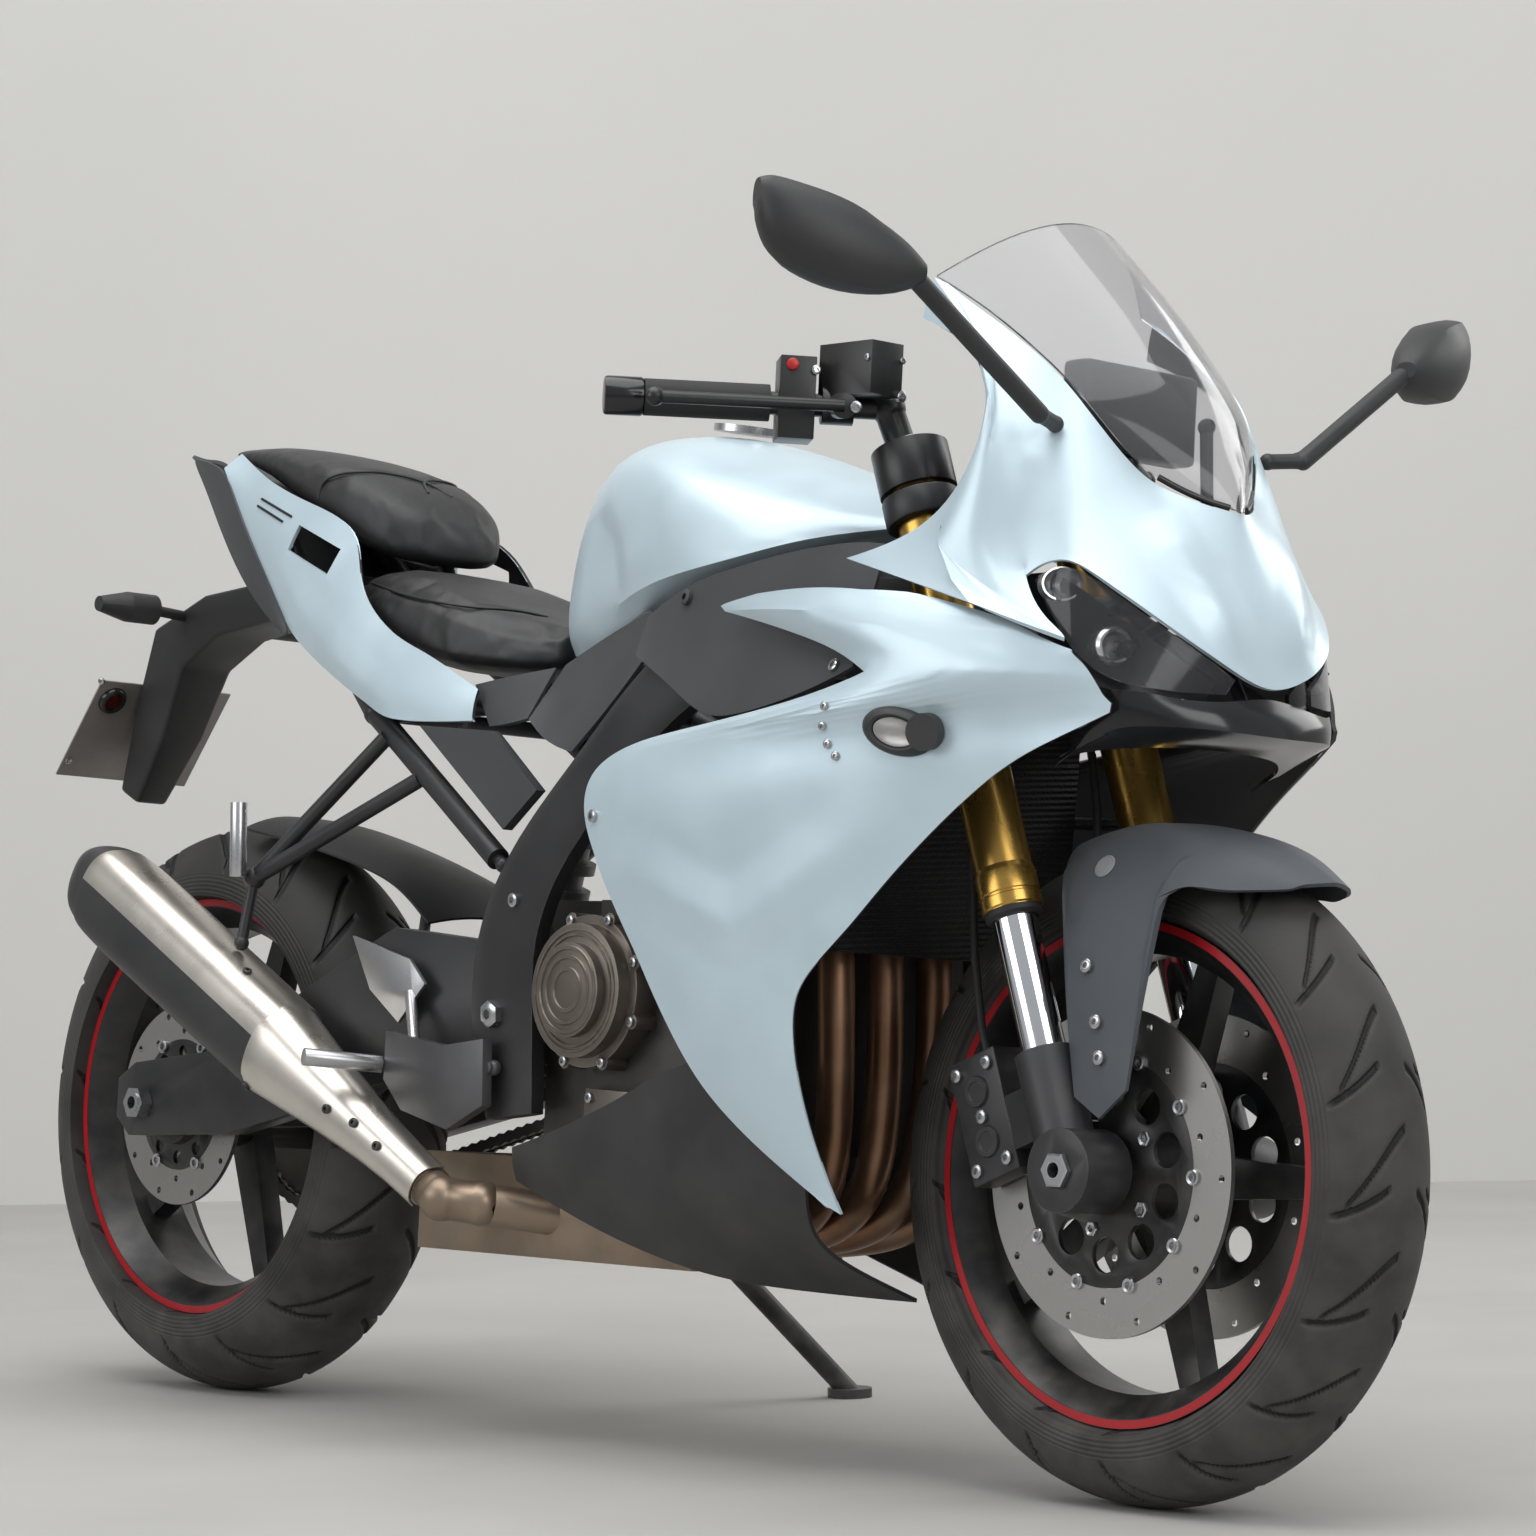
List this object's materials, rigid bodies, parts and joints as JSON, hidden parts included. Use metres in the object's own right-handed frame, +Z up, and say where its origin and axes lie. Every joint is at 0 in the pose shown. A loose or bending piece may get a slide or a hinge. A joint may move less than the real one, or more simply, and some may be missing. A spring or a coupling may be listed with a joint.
{
  "type": "sports motorcycle",
  "caption": "Faired sports motorcycle leaning on its side stand, with turning wheels, steering and a folding stand.",
  "frame": {"origin": "middle of the parked outline on the floor", "axes": "+X forward, +Y to the rider's left, +Z up; the machine leans 5 degrees to the left on its stand"},
  "size_m": [2.0119, 0.9352, 1.192],
  "materials": {
    "paint": "satin metallic",
    "black_plastic": "matte",
    "dark_grey": "matte",
    "black_metal": "satin",
    "vinyl": "satin",
    "tyre": "matte",
    "rubber": "matte",
    "steel": "brushed",
    "gold": "anodised",
    "chrome": "polished",
    "bronze": "satin",
    "header": "heat tinted",
    "muffler": "brushed",
    "engine": "satin",
    "screen": "clear tint",
    "lens": "smoked",
    "plate": "painted"
  },
  "bodies": {
    "chassis": {"frame_right": "black_metal", "frame_left": "black_metal", "head_tube": "black_metal", "engine_block": "engine", "radiator": "black_metal", "exhaust_headers": "header", "exhaust_box": "bronze", "muffler": "muffler", "muffler_cone": "muffler", "swingarm": "black_metal", "rear_axle": "steel", "stand_bracket": "black_metal", "tank": "paint", "seat": "vinyl", "pillion_seat": "vinyl", "tail_right": "paint", "tail_left": "paint", "fairing_right": "paint", "fairing_left": "paint", "cowl": "paint", "windscreen": "screen", "belly_pan": "black_plastic", "headlamps": "lens", "mirrors": "black_plastic", "plate_hanger": "black_plastic", "number_plate": "plate", "subframe": "black_metal", "tail_under": "dark_grey", "instruments": "black_plastic", "engine_covers": "bronze", "tank_cap": "steel", "side_covers": "black_plastic", "side_panels": "dark_grey", "nose_chin": "black_plastic", "rearsets": "steel", "hugger": "black_plastic", "rear_shock": "engine", "chain": "steel", "indicators": "black_plastic"},
    "steering": {"fork_tubes": "gold", "fork_stanchions": "chrome", "fork_feet": "black_metal", "front_axle": "steel", "triple_clamps": "black_metal", "handlebars": "black_metal", "grips": "rubber", "bar_weights": "black_metal", "controls": "black_metal", "front_fender": "dark_grey", "calipers": "black_metal", "brake_hoses": "rubber", "switchgear": "black_plastic"},
    "front_wheel": {"front_tyre": "tyre", "front_rim": "black_metal", "front_discs": "steel"},
    "rear_wheel": {"rear_tyre": "tyre", "rear_rim": "black_metal", "rear_disc": "steel", "rear_sprocket": "steel"},
    "side_stand": {"side_stand": "black_metal"}
  },
  "joints": [
    {"name": "steering", "type": "hinge", "parent": "chassis", "child": "steering", "pos_m": [0.46544, -0.02542, 0.80855], "axis": [-0.3584, 0.0814, 0.93], "range_deg": [-27, 27]},
    {"name": "front_wheel_spin", "type": "hinge", "parent": "steering", "child": "front_wheel", "pos_m": [0.706, -0.06999, 0.29916], "axis": [0, 0.9962, -0.0872], "continuous": true},
    {"name": "rear_wheel_spin", "type": "hinge", "parent": "chassis", "child": "rear_wheel", "pos_m": [-0.694, -0.06894, 0.31112], "axis": [0, 0.9962, -0.0872], "continuous": true},
    {"name": "side_stand_fold", "type": "hinge", "parent": "chassis", "child": "side_stand", "pos_m": [-0.189, 0.07665, 0.25421], "axis": [-0.0199, 0.7494, 0.6619], "range_deg": [0, 91]}
  ]
}
